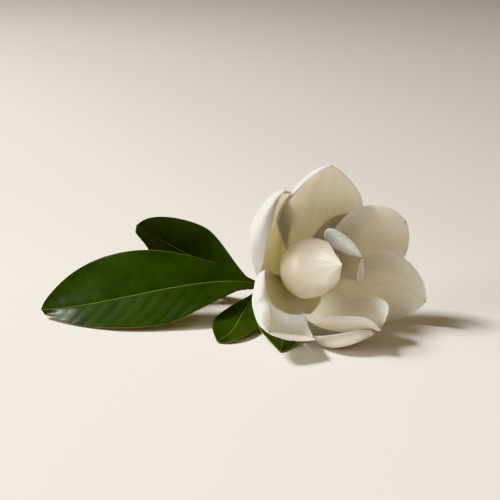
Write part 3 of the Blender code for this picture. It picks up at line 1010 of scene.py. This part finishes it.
@dataclass(frozen=True)
class LeafFinish:
    """The glossy upper side of a leathery leaf, with a pale midrib and sunken side veins.

    Near the apex the left half is waxier, where the photograph's leaf catches the light.
    """

    name: str
    deep: Colour = (0.011, 0.029, 0.002)
    green: Colour = (0.026, 0.056, 0.004)
    vein: Colour = (0.085, 0.135, 0.022)
    rib: Colour = (0.30, 0.33, 0.085)
    rim: Colour = (0.36, 0.33, 0.14)
    blemish: Colour = (0.10, 0.075, 0.02)
    tip: Colour = (0.13, 0.10, 0.03)
    pattern: VeinPattern = VeinPattern()

    def material(self) -> bpy.types.Material:
        """Builds the material.

        Returns:
            The material.
        """
        graph = Graph(self.name)
        _, along = graph.map("blade")
        apex, margin = graph.map("near")
        rib, length = graph.map("rib")
        place = graph.place()
        waver = graph.noise(place, 90.0) - 0.5
        cloud = graph.noise(place, 30.0, 3.0, 0.6)
        speck = graph.noise(place, 1400.0) - 0.5
        blemish = graph.noise(place, 160.0, 4.0, 0.7).step(0.72, 0.80)
        share = self.pattern.nodes(rib, length) + waver * 0.12
        side = share.spread().step(0.93, 1.0)
        between = (share + 0.5).spread().step(0.95, 1.0) * (1.0 - abs(rib) * 0.5).most(0.0)
        flat = graph.vector(rib, length)
        net = graph.cells(flat, 7.0).step(0.10, 0.0)
        mesh = graph.cells(flat, 19.0).step(0.10, 0.0)
        middle = (abs(rib) / (0.075 - along * 0.055)).step(1.0, 0.45)
        shine = apex.step(4.6, 1.4) * rib.step(-0.02, -0.2)
        colour = graph.layers(
            graph.mix((cloud + speck * 0.3).step(0.25, 0.75), self.deep, self.green),
            (side * 0.17 + between * 0.035 + net * 0.08 + mesh * 0.05, self.vein),
            (middle * 0.85, self.rib),
            ((margin + waver * 0.02).step(0.055, 0.02) * 0.8, self.rim),
            (blemish * 0.35, self.blemish),
            (apex.step(0.22, 0.04) * 0.7, self.tip),
        )
        graph.bump((1.0 - side) * 0.10 - net * 0.035 - mesh * 0.014 + cloud * 0.5 + speck * 0.008, 0.9)
        return graph.finish(
            Base_Color=colour, Roughness=0.40 + (cloud - 0.5) * 0.14 + net * 0.05 + blemish * 0.15,
            Specular_IOR_Level=0.10, Coat_Weight=0.04 + (cloud - 0.5) * 0.04 + shine * 0.96,
            Coat_Roughness=0.42,
        )


@dataclass(frozen=True)
class FeltFinish:
    """The underside of a leaf: pale green under rusty felt, with raised veins."""

    name: str
    felt: Colour = (0.20, 0.105, 0.035)
    pale: Colour = (0.15, 0.16, 0.055)
    rib: Colour = (0.33, 0.30, 0.12)
    pattern: VeinPattern = VeinPattern()

    def material(self) -> bpy.types.Material:
        """Builds the material.

        Returns:
            The material.
        """
        graph = Graph(self.name)
        _, along = graph.map("blade")
        rib, length = graph.map("rib")
        place = graph.place()
        cloud = graph.noise(place, 55.0, 4.0, 0.6)
        nap = graph.noise(place, 2600.0, 3.0, 0.7) - 0.5
        side = self.pattern.nodes(rib, length).spread().step(0.88, 1.0)
        net = graph.cells(graph.vector(rib, length), 7.0).step(0.14, 0.0)
        middle = (abs(rib) / (0.13 - along * 0.09)).step(1.0, 0.4)
        colour = graph.layers(
            graph.mix((cloud + nap * 0.5).step(0.3, 0.72), self.felt, self.pale),
            (side * 0.45 + net * 0.15, self.rib),
            (middle * 0.8, self.rib),
        )
        graph.bump(side * 0.25 + net * 0.06 + middle * 0.5 + nap * 0.10, 0.9)
        return graph.finish(Base_Color=colour, Roughness=0.84 + nap * 0.1, Sheen_Weight=0.35,
                            Sheen_Roughness=0.5)


@dataclass(frozen=True)
class BarkFinish:
    """Young brown bark with pale pores and lengthwise wrinkles, greenish in patches."""

    name: str
    dark: Colour = (0.040, 0.020, 0.010)
    brown: Colour = (0.130, 0.070, 0.033)
    green: Colour = (0.115, 0.105, 0.035)
    pore: Colour = (0.36, 0.27, 0.16)

    def material(self) -> bpy.types.Material:
        """Builds the material.

        Returns:
            The material.
        """
        graph = Graph(self.name)
        around, along = graph.map("bark")
        grain = graph.noise(graph.vector(around * 40.0, along * 14.0), detail=4.0, roughness=0.65)
        cloud = graph.noise(graph.place(), 120.0, 3.0, 0.6)
        pores = graph.cells(graph.vector(around * 9.0, along * 22.0), feature="F1").step(0.20, 0.10)
        colour = graph.layers(
            graph.mix(grain.step(0.3, 0.7), self.dark, self.brown),
            (cloud.step(0.45, 0.75) * 0.5, self.green),
            (pores * 0.75, self.pore),
        )
        graph.bump((grain - 0.5) * 0.45 + pores * 0.22 + (cloud - 0.5) * 0.2)
        return graph.finish(Base_Color=colour, Roughness=0.70 + (grain - 0.5) * 0.3)


@dataclass(frozen=True)
class CutFinish:
    """The cut end of the twig: pale wood with rings, a darker pith and a thin bark edge."""

    name: str
    wood: Colour = (0.52, 0.40, 0.22)
    ring: Colour = (0.34, 0.24, 0.11)
    pith: Colour = (0.20, 0.13, 0.06)
    edge: Colour = (0.09, 0.055, 0.025)

    def material(self) -> bpy.types.Material:
        """Builds the material.

        Returns:
            The material.
        """
        graph = Graph(self.name)
        _, out = graph.map("bark")
        fibre = graph.noise(graph.place(), 2200.0, 3.0, 0.6) - 0.5
        rings = (out * 34.0 + fibre * 2.0).wave() ** 2.0
        colour = graph.layers(
            graph.mix(rings * 0.6, self.wood, self.ring),
            (out.step(0.22, 0.14), self.pith),
            (out.step(0.84, 0.93), self.edge),
        )
        graph.bump(fibre * 0.25 + rings * 0.06)
        return graph.finish(Base_Color=colour, Roughness=0.8 + fibre * 0.2)


@dataclass(frozen=True)
class StalkFinish:
    """Pale green receptacle, browner in its scars."""

    name: str
    green: Colour = (0.30, 0.33, 0.12)
    pale: Colour = (0.48, 0.46, 0.25)
    scar: Colour = (0.16, 0.10, 0.04)

    def material(self) -> bpy.types.Material:
        """Builds the material.

        Returns:
            The material.
        """
        graph = Graph(self.name)
        around, along = graph.map("bark")
        grain = graph.noise(graph.vector(around * 30.0, along * 8.0), detail=3.0, roughness=0.6)
        cloud = graph.noise(graph.place(), 300.0, 3.0, 0.6) - 0.5
        rings = (along * 70.0 + cloud * 3.0).wave().step(0.82, 1.0)
        colour = graph.layers(
            graph.mix(grain.step(0.3, 0.7), self.green, self.pale),
            (rings * 0.55, self.scar),
        )
        graph.bump((grain - 0.5) * 0.3 - rings * 0.2)
        return graph.finish(Base_Color=colour, Roughness=0.62 + cloud * 0.2)


# Stems


@dataclass
class Bands:
    """The faces of a round stem, added as bands between two rings of points.

    looks has which finish each face wears, and corners two values for each corner of it,
    for the map bark: how far around it lies, and how far along or out.
    """

    sides: int
    faces: Faces = field(default_factory=list)
    looks: list[int] = field(default_factory=list)
    corners: list[tuple[float, float]] = field(default_factory=list)

    def add(self, rings: tuple[int, int], values: tuple[float, float], look: int, way: int = 1,
            crown: bool = False) -> None:
        """Adds one band.

        Args:
            rings: The index of the first point of each ring.
            values: The second value of the map on each ring.
            look: Which finish the band wears.
            way: 1, or -1 to turn the faces round.
            crown: Whether the second ring is a single point.
        """
        for k in range(self.sides):
            j = (k + 1) % self.sides
            low, high = k / self.sides, (k + 1) / self.sides
            face = [(rings[0] + k, low, values[0]), (rings[0] + j, high, values[0]),
                    (rings[1] + j, high, values[1]), (rings[1] + k, low, values[1])]
            if crown:
                face[2:] = [(rings[1], low, values[1])]
            self.faces.append(tuple(corner[0] for corner in face[::way]))
            self.corners += [corner[1:] for corner in face[::way]]
            self.looks.append(look)


def tube(name: str, centres: Grid, axes: Grid, radii: Grid, runs: Grid, finishes: Finishes) -> None:
    """Adds a round stem with a slightly raised cut face at each end, in the place of its solid.

    Its map bark has the share of the radius on the cut ends.

    Args:
        name: The solid's name.
        centres: Points along its middle line.
        axes: The directions there.
        radii: The radius at each point and side, as a grid.
        runs: How far along each ring lies, for the map.
        finishes: The materials of the skin and of the cut ends.
    """
    cut_shares, cut_rise, crown_rise = (0.9, 0.55, 0.2), 0.25, 0.3
    rings, sides = radii.shape
    turn = ring_turns(sides)[:, None]
    points = []
    for centre, axis, radius in zip(centres, axes, radii):
        side, up = round_axis(axis)
        points.append(centre + radius[:, None] * (np.cos(turn) * side + np.sin(turn) * up))
    bands = Bands(sides)
    for ring in range(rings - 1):
        bands.add((ring * sides, (ring + 1) * sides), (runs[ring], runs[ring + 1]), 0)
    count = rings * sides
    for end, way in ((0, -1), (rings - 1, 1)):
        outer, was = end * sides, 1.0
        edge, middle, out = points[end], centres[end], way * axes[end]
        for share in cut_shares:
            points.append(middle + (edge - middle) * share + cut_rise * (1.0 - share) * out)
            bands.add((outer, count), (was, share), 1, way)
            outer, was = count, share
            count += sides
        points.append((middle + crown_rise * out)[None])
        bands.add((outer, count), (was, 0.0), 1, way, crown=True)
        count += 1
    item = add_mesh(f"{name}_fine", np.concatenate(points), bands.faces, bands.looks, finishes)
    add_map(item, "bark", bands.corners)
    dress(item, name)


@dataclass
class Receptacle(RoundStem):
    """The short stalk that carries the tepals, with the cone on top.

    profile has distances along it with the radius there, and scars the distances of the
    rings that its bud scales left. bumps and ridges are how many lie round the cone and skin.
    """

    top: Triple = (38.5, 18.5, 43.5)
    axis: Triple = (0.400, -0.761, 0.511)
    length: float = 22.0
    span: float = 42.0
    profile: tuple[tuple[float, float], ...] = (
        (0.0, 4.9), (1.5, 6.4), (14.0, 6.4), (20.0, 5.0), (34.0, 4.6), (42.0, 1.5),
    )
    scars: tuple[float, ...] = (1.2, 3.4, 5.0, 18.5)
    scar_height: float = 0.22
    scar_width: float = 0.5
    bumps: int = 7
    bump_height: float = 0.22
    bump_lean: float = 1.7
    ridges: int = 9
    ridge_height: float = 0.10
    ridge_sway: float = 0.4
    cone_start: float = 18.0
    cone_fade: float = 4.0
    start: float = -0.6
    slimming: float = 0.985
    sides: int = 40
    rings: int = 120

    def line(self, places: Grid) -> tuple[Grid, Grid, Grid]:
        """Follows the receptacle.

        Args:
            places: Distances along it.

        Returns:
            Centres, directions and radii there.
        """
        base = np.array(self.top) - self.length * np.array(self.axis)
        centres = base + places[:, None] * np.array(self.axis)
        reach, radius = np.transpose(self.profile)
        return centres, np.broadcast_to(unit(self.axis), centres.shape), np.interp(places, reach, radius)

    def build(self) -> None:
        """Builds the stalk with the scars of its bud scales, and the cone's bumps."""
        distance = np.linspace(self.start, self.span, self.rings)
        centres, axes, radii = self.line(distance)
        turn = ring_turns(self.sides)[None]
        along = distance[:, None]
        scars = self.scar_height * sum(hill(along - at, self.scar_width) for at in self.scars)
        cone = ease((along - self.cone_start) / self.cone_fade)
        bumps = self.bump_height * np.sin(self.bumps * turn + along * self.bump_lean) * cone
        ridges = self.ridge_height * np.sin(self.ridges * turn + self.ridge_sway * np.sin(along))
        grid = radii[:, None] * self.slimming + scars + bumps + ridges
        finishes = [StalkFinish("receptacle skin").material(), CutFinish("receptacle end").material()]
        tube("receptacle", centres, axes, grid, distance * CM_IN_MM, finishes)


@dataclass
class Twig(RoundStem):
    """The short woody twig behind the bloom, with bud scars and a cut end.

    scars are shares of its length, each with a ring and two fine rims. relief has the
    height, the swells around and along, and the pattern of the bark's wrinkles and lumps.
    """

    start: Triple = (29.4, 35.8, 31.9)
    handles: tuple[Triple, Triple] = ((23.0, 48.0, 23.7), (-15.0, 66.0, 14.0))
    end: Triple = (-40.0, 78.0, 4.6)
    span: float = 1.0
    radii: Triple = (4.8, 3.7, 4.4)
    scars: tuple[float, ...] = (0.22, 0.45, 0.7)
    scar_height: float = 0.5
    scar_width: float = 0.015
    rims: tuple[float, ...] = (-0.028, 0.026)
    rim_height: float = 0.14
    rim_width: float = 0.004
    relief: tuple[tuple[float, float, float, int], ...] = ((0.12, 1.6, 0.06, 5), (0.16, 0.35, 0.12, 9))
    inset: float = 0.08
    sides: int = 36
    rings: int = 220

    def line(self, places: Grid) -> tuple[Grid, Grid, Grid]:
        """Follows the twig, with a raised ring at each scar.

        Args:
            places: Shares of its length.

        Returns:
            Centres, directions and radii there.
        """
        centres, slope = bezier(np.array([self.start, *self.handles, self.end]), places)
        scars = self.scar_height * sum(hill(places - scar, self.scar_width) for scar in self.scars)
        return centres, unit(slope), blend(self.radii, places) + scars

    def build(self) -> None:
        """Builds the twig with wrinkled bark and small ring scars."""
        t = np.linspace(0.0, self.span, self.rings)
        centres, axes, radii = self.line(t)
        turn = ring_turns(self.sides)[None]
        run = summed(np.linalg.norm(np.diff(centres, axis=0), axis=1))
        rims = sum(hill(t - scar - rim, self.rim_width) for scar in self.scars for rim in self.rims)
        grid = (radii + self.rim_height * rims - self.inset)[:, None]
        for height, around, along, pattern in self.relief:
            grid = grid + height * smooth_noise(turn * around, run[:, None] * along, pattern)
        finishes = [BarkFinish("twig bark").material(), CutFinish("twig cut").material()]
        tube("twig", centres, axes, grid, run * CM_IN_MM, finishes)


# Sub-assemblies of blades


@dataclass
class OpenTepals:
    """The nine tepals that stand open round the receptacle."""

    receptacle: Receptacle
    rows: int = 88
    columns: int = 30
    sink: float = 0.5
    gap: float = -0.4
    thickness: Thickness = Thickness(base=1.5, body=0.85, margin=0.55)

    def build(self) -> None:
        """Builds each tepal and dresses its two sides."""
        inner = PetalFinish("tepal inner side").material()
        outer = PetalFinish("tepal outer side", golden=0.40, warmth=0.45).material()
        for name, blade in TEPALS.items():
            base = self.receptacle.seat(blade.seat, blade.way[0], -self.sink)
            t = blade.rows(self.rows)
            grid = blade.surface(base, t, self.columns)
            sheet = Sheet(name, grid, t, self.thickness.half(t, grid.shape[1]))
            sheet.build(self.receptacle, self.gap, [inner, outer], Slot.TEPAL)


@dataclass
class ClosedMiddle:
    """The three tepals that are closed over the cone, in the shape of an egg with a beak.

    centre, axis, radius and half_length give the egg, and layer how much smaller each layer
    is. neck is the radius of its open foot, which leans to the receptacle up to neck_end of
    the way round. The beak starts at beak_start of it. The unevenness starts at free_start
    of the tepals' length. ridge has the points of a soft ridge.
    """

    receptacle: Receptacle
    centre: Triple = (52.2, 0.0, 56.7)
    axis: Triple = (0.637, -0.637, 0.432)
    radius: float = 26.0
    half_length: float = 27.5
    layer: float = 1.6
    neck_share: float = 0.3
    beak: float = 5.0
    beak_lean: Triple = (3.5, 0.0, -2.0)
    neck: float = 6.6
    neck_end: float = 1.0 / 3.0
    beak_start: float = 0.75
    free_start: float = 0.3
    ridge: tuple[Triple, ...] = (
        (76.0, -20.5, 67.0), (73.0, -22.1, 66.3), (67.0, -24.0, 62.5), (64.0, -24.9, 57.4),
        (61.7, -24.8, 52.0),
    )
    ridge_height: float = 1.0
    ridge_width: float = 2.2
    dimple: Triple = (50.6, -26.4, 59.8)
    dimple_depth: float = 0.45
    dimple_width: float = 1.5
    rows: int = 110
    columns: int = 150
    gap: float = 0.2
    thickness: Thickness = Thickness(base=0.85, body=0.85, margin=0.7)

    def crease(self, grid: Grid) -> Grid:
        """Raises a soft ridge from the beak over the outermost tepal, and sinks a faint dimple.

        Args:
            grid: The smooth surface.

        Returns:
            The creased surface.
        """
        near = np.full(grid.shape[:2], np.inf)
        for start, end in zip(self.ridge[:-1], self.ridge[1:]):
            first, step = np.array(start), np.array(end) - np.array(start)
            share = np.clip(((grid - first) @ step) / (step @ step), 0.0, 1.0)
            near = np.minimum(near, np.linalg.norm(grid - first - share[..., None] * step, axis=-1))
        away = np.linalg.norm(grid - np.array(self.dimple), axis=-1)
        raised = self.ridge_height * hill(near, self.ridge_width)
        sunk = self.dimple_depth * hill(away, self.dimple_width)
        return grid - (raised - sunk)[..., None] * surface_normals(grid)

    def surface(self, wrap: Wrap, t: Grid) -> Grid:
        """The uneven middle surface of a closed tepal on its layer of the egg.

        Args:
            wrap: The tepal's layer and stretch.
            t: Where along the length each row lies.

        Returns:
            Points in rows, from the left margin to the right margin.
        """
        axis, centre = np.array(self.axis), np.array(self.centre)
        side, up = round_axis(axis)
        inset = self.layer * wrap.layer
        radius, half_length = self.radius - inset, self.half_length - inset
        first = np.arcsin((self.neck - self.neck_share * inset) / radius)
        rise = first + (np.pi - first) * t
        beak = np.clip((rise / np.pi - self.beak_start) / (1.0 - self.beak_start), 0.0, 1.0)[:, None]
        neck = np.clip(1.0 - rise / (np.pi * self.neck_end), 0.0, 1.0)[:, None]
        lean = np.array(self.receptacle.top) - (centre - self.half_length * axis)
        middle = centre + (self.beak * beak**3 - half_length * np.cos(rise)[:, None]) * axis
        middle = middle + beak**2 * np.array(self.beak_lean) + neck**2 * lean
        share = rounded(-1.0, self.columns + 1)[None, :]
        turn = np.radians(wrap.middle - share * blend(wrap.spread, t)[:, None])[..., None]
        ring = np.cos(turn) * side + np.sin(turn) * up
        grid = middle[:, None] + (radius * np.sin(rise))[:, None, None] * ring
        return wrap.life.liven(grid, t, self.free_start)

    def build(self) -> None:
        """Builds the three closed tepals and dresses them."""
        inner = PetalFinish("closed tepal inner side", golden=0.62).material()
        # The outer side is golden over most of its length, deepest toward the foot on the lower left of the
        # egg: partly the tepals' own warm base, partly painted warm shade where the egg lies out of the
        # light.
        outer = PetalFinish("closed tepal outer side", golden=0.88, warmth=0.75, tip_size=0.02, glow=0.35,
                            depth=0.001, veins=0.25, gloss=0.9, ivory=(0.93, 0.89, 0.80),
                            cream=(0.90, 0.83, 0.67)).material()
        t = np.linspace(0.0, 1.0, self.rows)
        for name, wrap in CLOSED_TEPALS.items():
            grid = self.surface(wrap, t)
            if wrap.layer == 0:
                grid = self.crease(grid)
            sheet = Sheet(name, grid, t, self.thickness.half(t, grid.shape[1]))
            sheet.build(self.receptacle, self.gap, [inner, outer], Slot.TEPAL)


@dataclass
class Leaves:
    """The four leaves, each seated on the side of the twig.

    pillow is the height of the quilting between the side veins, trough the depth of the
    midrib, and sag how far the left half sinks within sag_length of the apex. The fades
    are how far from the midrib in centimetres, and from the margin, the base and the apex
    as shares of the blade, the quilting sets in.
    """

    twig: Twig
    pattern: VeinPattern = VeinPattern()
    rows: int = 120
    columns: int = 36
    sink: float = 0.7
    gap: float = -0.6
    thickness: Thickness = Thickness(base=2.9, body=0.95, margin=0.6)
    pillow: float = 0.45
    pillow_shape: float = 0.7
    pillow_start: float = 0.12
    rib_fade: float = 0.5
    margin_fade: float = 0.25
    base_fade: float = 0.2
    apex_fade: float = 0.1
    trough: float = 0.30
    trough_width: float = 0.09
    trough_start: float = 0.1
    sag: float = 4.2
    sag_length: float = 42.0
    sag_start: float = 6.0
    sag_fade: float = 0.3

    def quilt(self, grid: Grid, t: Grid) -> Grid:
        """Sinks the side veins and the midrib into the upper side of a leaf, and its tip.

        Args:
            grid: The smooth middle surface.
            t: Where along the length each row lies.

        Returns:
            The quilted surface.
        """
        rib, length = rib_distances(grid)
        share = self.pattern.share(rib, length, np.where(rib < 0.0, 0.5, 0.0))
        t = t[:, None]
        side = np.linspace(1.0, -1.0, grid.shape[1])[None, :]
        inside = 1.0 - ease((np.abs(side) - (1.0 - self.margin_fade)) / self.margin_fade)
        soft = ease(np.abs(rib) / self.rib_fade) * inside
        below = 1.0 - ease((t - (1.0 - self.apex_fade)) / self.apex_fade)
        soft = soft * ease((t - self.pillow_start) / self.base_fade) * below
        pillow = np.abs(np.sin(np.pi * (share - 0.5))) ** self.pillow_shape * soft
        trough = hill(rib, self.trough_width) * ease((t - self.trough_start) / self.base_fade)
        apex = np.linalg.norm(grid - grid[-1, grid.shape[1] // 2], axis=-1)
        sag = np.clip(1.0 - apex / self.sag_length, 0.0, 1.0) ** 2
        sag = sag * ease(side / self.sag_fade) * ease(apex / self.sag_start)
        height = self.pillow * pillow - self.trough * trough - self.sag * sag
        return grid + height[..., None] * surface_normals(grid)

    def build(self) -> None:
        """Builds each leaf with its stalk, and dresses its two sides."""
        upper = LeafFinish("leaf upper side", pattern=self.pattern).material()
        under = FeltFinish("leaf underside", pattern=self.pattern).material()
        for name, blade in LEAVES.items():
            base = self.twig.seat(blade.seat, blade.way[0], -self.sink)
            t = blade.rows(self.rows)
            grid = self.quilt(blade.surface(base, t, self.columns), t)
            sheet = Sheet(name, grid, t, self.thickness.half(t, grid.shape[1]))
            sheet.build(self.twig, self.gap, [upper, under], Slot.LEAF)


# Studio


@dataclass(frozen=True)
class Lamp:
    """A lamp: the way to it, its distance in metres, power in watts, size in metres and colour."""

    name: str
    way: Triple
    distance: float
    power: float
    size: float
    colour: Colour

    def place(self, data: bpy.types.Light, target: Triple) -> None:
        """Adds the lamp.

        Args:
            data: Its light.
            target: The point it looks at, in drafting millimetres.
        """
        data.energy = self.power
        data.color = self.colour
        out = Vector(unit(self.way))
        item = bpy.data.objects.new(self.name, data)
        item.location = Vector((np.array(target) - ORIGIN) * MM) + out * self.distance
        item.rotation_euler = out.to_track_quat("Z", "Y").to_euler()
        bpy.context.scene.collection.objects.link(item)


@dataclass
class Studio:
    """The pale floor, the soft lights and the camera of the photograph.

    target is the point the camera looks at, in drafting millimetres, and distance how far
    away it stands. lit is the point the key and fill lamps look at. The middle lamp lights
    a small round patch on the closed middle.
    """

    target: Triple = (0.0, 0.0, 74.0)
    distance: float = 826.0
    elevation: float = 20.0
    lens: float = 70.0
    sensor: float = 36.0
    key: Lamp = Lamp("key lamp", (-0.645, 0.225, 0.73), 4.2, 198.0, 0.95, (1.0, 0.987, 0.972))
    fill: Lamp = Lamp("fill lamp", (-0.90, -0.26, 0.40), 2.5, 18.0, 1.0, (1.0, 0.98, 0.94))
    lit: Triple = (43.37, 1.53, 60.0)
    middle: Lamp = Lamp("middle lamp", (0.50, -0.29, 0.82), 1.5, 130.0, 0.03, (0.97, 0.985, 1.0))
    middle_lit: Triple = (73.0, -21.0, 70.0)
    middle_radius: float = 0.028
    world: Colour = (1.0, 0.79, 0.52)
    world_strength: float = 0.26
    floor_size: float = 9000.0
    floor_near: Colour = (0.83, 0.825, 0.805)
    # The floor's far colour and its falloff paint the light dimming behind the bloom.
    floor_painted_shade: Colour = (0.56, 0.55, 0.535)
    floor_fibre: Colour = (0.74, 0.71, 0.66)
    floor_painted_falloff: float = 0.45

    def camera(self) -> None:
        """Places the camera at the photograph's viewing angle."""
        slope = np.radians(self.elevation)
        back = np.array([0.0, -np.cos(slope), np.sin(slope)])
        data = bpy.data.cameras.new("camera")
        data.lens = self.lens
        data.sensor_width = self.sensor
        data.clip_start = 0.01
        data.clip_end = 60.0
        item = bpy.data.objects.new("camera", data)
        item.location = (np.array(self.target) + back * self.distance - ORIGIN) * MM
        item.rotation_euler = Euler((np.pi / 2.0 - slope, 0.0, 0.0))
        bpy.context.scene.collection.objects.link(item)
        bpy.context.scene.camera = item

    def floor(self) -> None:
        """Adds the pale floor, whose colour is painted darker with the distance behind the bloom and toward
        the right: a painted light falloff.
        """
        corners = np.array([[-1.0, -1.0, 0.0], [1.0, -1.0, 0.0], [1.0, 1.0, 0.0], [-1.0, 1.0, 0.0]])
        graph = Graph("pale paper floor")
        place = graph.place()
        x, y = graph.parts(place)
        # Painted light falloff: the floor's colour darkens with the distance behind the bloom and toward the
        # right.
        behind = (y + x * 0.5).most(0.0)
        far = behind / (behind + self.floor_painted_falloff)
        fibre = graph.noise(place, 700.0, 3.0, 0.6)
        colour = graph.layers(
            graph.mix(far / 0.85, self.floor_near, self.floor_painted_shade),
            (fibre * 0.05, self.floor_fibre),
        )
        graph.bump((fibre - 0.5) * 0.02, 0.5)
        paper = graph.finish(Base_Color=colour, Roughness=0.75 + (fibre - 0.5) * 0.1, Specular_IOR_Level=0.2)
        item = add_mesh("floor", corners * self.floor_size, [(0, 1, 2, 3)], [0], [paper])

    def light(self) -> None:
        """Sets the lamps, the even warm room light and the colour handling."""
        for lamp in (self.key, self.fill):
            disk = bpy.data.lights.new(lamp.name, "AREA")
            disk.shape = "DISK"
            disk.size = lamp.size
            lamp.place(disk, self.lit)
        spot = bpy.data.lights.new(self.middle.name, "SPOT")
        spot.shadow_soft_size = self.middle.size
        spot.spot_size = 2.0 * float(np.arctan(self.middle_radius / self.middle.distance))
        spot.spot_blend = 1.0
        self.middle.place(spot, self.middle_lit)
        world = bpy.data.worlds.new("room")
        world.use_nodes = True
        background = world.node_tree.nodes["Background"]
        background.inputs["Color"].default_value = (*self.world, 1.0)
        background.inputs["Strength"].default_value = self.world_strength
        bpy.context.scene.world = world
        bpy.context.scene.view_settings.view_transform = "Khronos PBR Neutral"
        bpy.context.scene.view_settings.look = "None"

    def build(self) -> None:
        """Sets up the whole studio."""
        self.camera()
        self.floor()
        self.light()


def clear_leftovers() -> None:
    """Removes what a new file brings along, and nothing of the frame."""
    kept = {item.name for item in frame["nodes"].values()} | {item.name for item in frame["bodies"].values()}
    for item in list(bpy.data.objects):
        if item.name not in kept:
            bpy.data.objects.remove(item, do_unlink=True)


def main() -> None:
    """Builds the flower on its frame and the studio round it."""
    logging.basicConfig(level=logging.INFO, format="%(name)s: %(message)s")
    clear_leftovers()
    receptacle = Receptacle()
    twig = Twig()
    groups = (OpenTepals(receptacle), ClosedMiddle(receptacle), Leaves(twig))
    for piece in (receptacle, twig, *groups, Studio()):
        piece.build()
        LOG.info("%s is built", type(piece).__name__)


if __name__ == "__main__":
    main()
